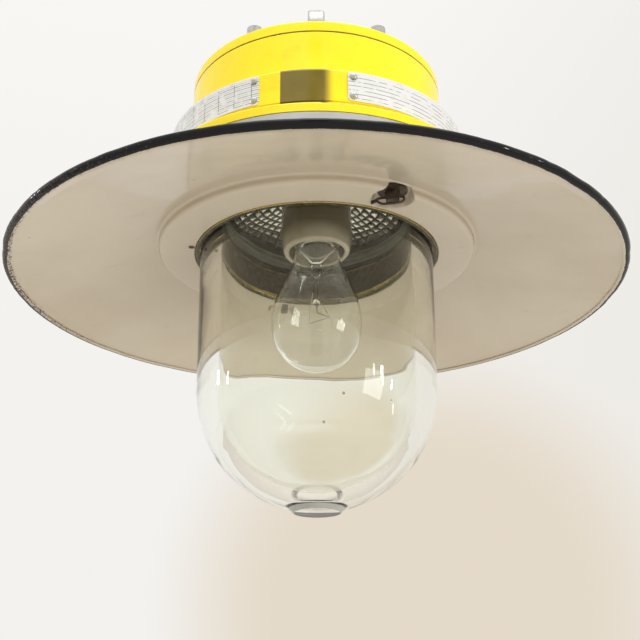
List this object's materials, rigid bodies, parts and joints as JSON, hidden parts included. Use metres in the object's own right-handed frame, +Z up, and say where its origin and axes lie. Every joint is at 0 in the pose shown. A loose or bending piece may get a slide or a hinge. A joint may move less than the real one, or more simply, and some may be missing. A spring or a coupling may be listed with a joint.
{
  "type": "industrial pendant lamp",
  "caption": "Hanging industrial lamp: cast body with terminal space, enamelled dish shade, thick glass dome in a threaded ring, screw-cap bulb before a dimpled reflector.",
  "frame": {"origin": "centre of the hanging hole in the lug at the top", "axes": "+Z up, the lamp's own axis; +X along the hanging hole; +Y towards the cable gland at the back, so -Y is the front between the two label plates"},
  "size_m": [0.4, 0.4, 0.366],
  "materials": {
    "enamel": "glossy enamel, black rim",
    "yellow_paint": "glossy",
    "grey_casting": "as cast, light varnish",
    "label_metal": "satin",
    "zinc_steel": "zinc plated",
    "rusty_steel": "rusted",
    "seal_rubber": "matt",
    "fibre": "matt",
    "brass": "aged",
    "ring_brass": "aged, greasy",
    "porcelain": "glazed",
    "moulding": "moulded",
    "bright_aluminium": "bright, dimpled",
    "inner_grey": "dull",
    "dome_glass": "clear, pressed",
    "bulb_glass": "clear, thin",
    "cement": "matt",
    "wire_sleeve": "matt",
    "lead_metal": "drawn wire",
    "tungsten": "dark wire",
    "cap_metal": "dull",
    "cap_insulator": "dark glass",
    "solder": "soldered"
  },
  "bodies": {
    "housing": {"shade": "enamel", "shade_studs": "rusty_steel", "shade_washer": "rusty_steel", "shade_clip": "rusty_steel", "neck_housing": "grey_casting", "flange_seal": "seal_rubber", "flange_bolts": "zinc_steel", "lamp_body": "yellow_paint", "rating_plate": "label_metal", "notice_plate": "label_metal", "plate_rivets": "zinc_steel", "terminal_cover": "yellow_paint", "cover_gasket": "seal_rubber", "cover_bolts": "zinc_steel", "hanger_lug": "zinc_steel", "hanger_nut": "zinc_steel", "gland_body": "brass", "gland_bush": "seal_rubber", "terminal_block": "moulding", "terminal_clamps": "brass", "terminal_screws": "zinc_steel", "lead_bushings": "porcelain", "lead_wires": "wire_sleeve", "earth_screw_inner": "brass", "earth_screw_outer": "zinc_steel", "reflector": "bright_aluminium", "reflector_ring": "inner_grey", "reflector_screws": "zinc_steel", "lampholder": "porcelain", "lampholder_shell": "brass", "contact_spring": "lead_metal", "lampholder_bracket": "zinc_steel", "holder_screws": "zinc_steel", "bracket_screws": "zinc_steel"},
    "glass_seat": {"glass_gasket": "fibre"},
    "glass_unit": {"glass_ring": "ring_brass", "glass_cement": "cement", "glass_dome": "dome_glass"},
    "bulb": {"bulb_envelope": "bulb_glass", "bulb_stem": "bulb_glass", "bulb_wires": "lead_metal", "bulb_filament": "tungsten", "bulb_cap": "cap_metal", "bulb_insulator": "cap_insulator", "bulb_tip": "solder"},
    "contact_plunger": {"centre_contact": "brass"},
    "gland_clamp": {"gland_washer": "zinc_steel"},
    "gland_cap": {"gland_nut": "brass"},
    "lock_screw": {"ring_lock_screw": "zinc_steel"}
  },
  "joints": [
    {"name": "glass_travel", "type": "slide", "parent": "housing", "child": "glass_seat", "axis": [0, 0, -1], "range_m": [0, 0.0211]},
    {"name": "glass_unscrew", "type": "hinge", "parent": "glass_seat", "child": "glass_unit", "pos_m": [0, 0, -0.168], "axis": [0, 0, -1], "range_deg": [0, 2520]},
    {"name": "bulb_withdraw", "type": "slide", "parent": "housing", "child": "bulb", "axis": [0, 0, -1], "range_m": [0, 0.03]},
    {"name": "contact_press", "type": "slide", "parent": "housing", "child": "contact_plunger", "axis": [0, 0, 1], "range_m": [0, 0.0015], "stiffness_N_per_m": 1500, "springref_m": -0.002, "deforming": ["contact_spring"]},
    {"name": "gland_travel", "type": "slide", "parent": "housing", "child": "gland_clamp", "axis": [0, 1, 0], "range_m": [0, 0.0106]},
    {"name": "gland_unscrew", "type": "hinge", "parent": "gland_clamp", "child": "gland_cap", "pos_m": [0, 0.12, -0.077], "axis": [0, 1, 0], "range_deg": [0, 2520]},
    {"name": "lock_screw_release", "type": "slide", "parent": "housing", "child": "lock_screw", "axis": [0, 1, 0], "range_m": [0, 0.005]}
  ],
  "couplings": [
    {"joint": "glass_travel", "follows": "glass_unscrew", "m_per_rad": 0.00047746},
    {"joint": "gland_travel", "follows": "gland_unscrew", "m_per_rad": 0.00023873}
  ]
}
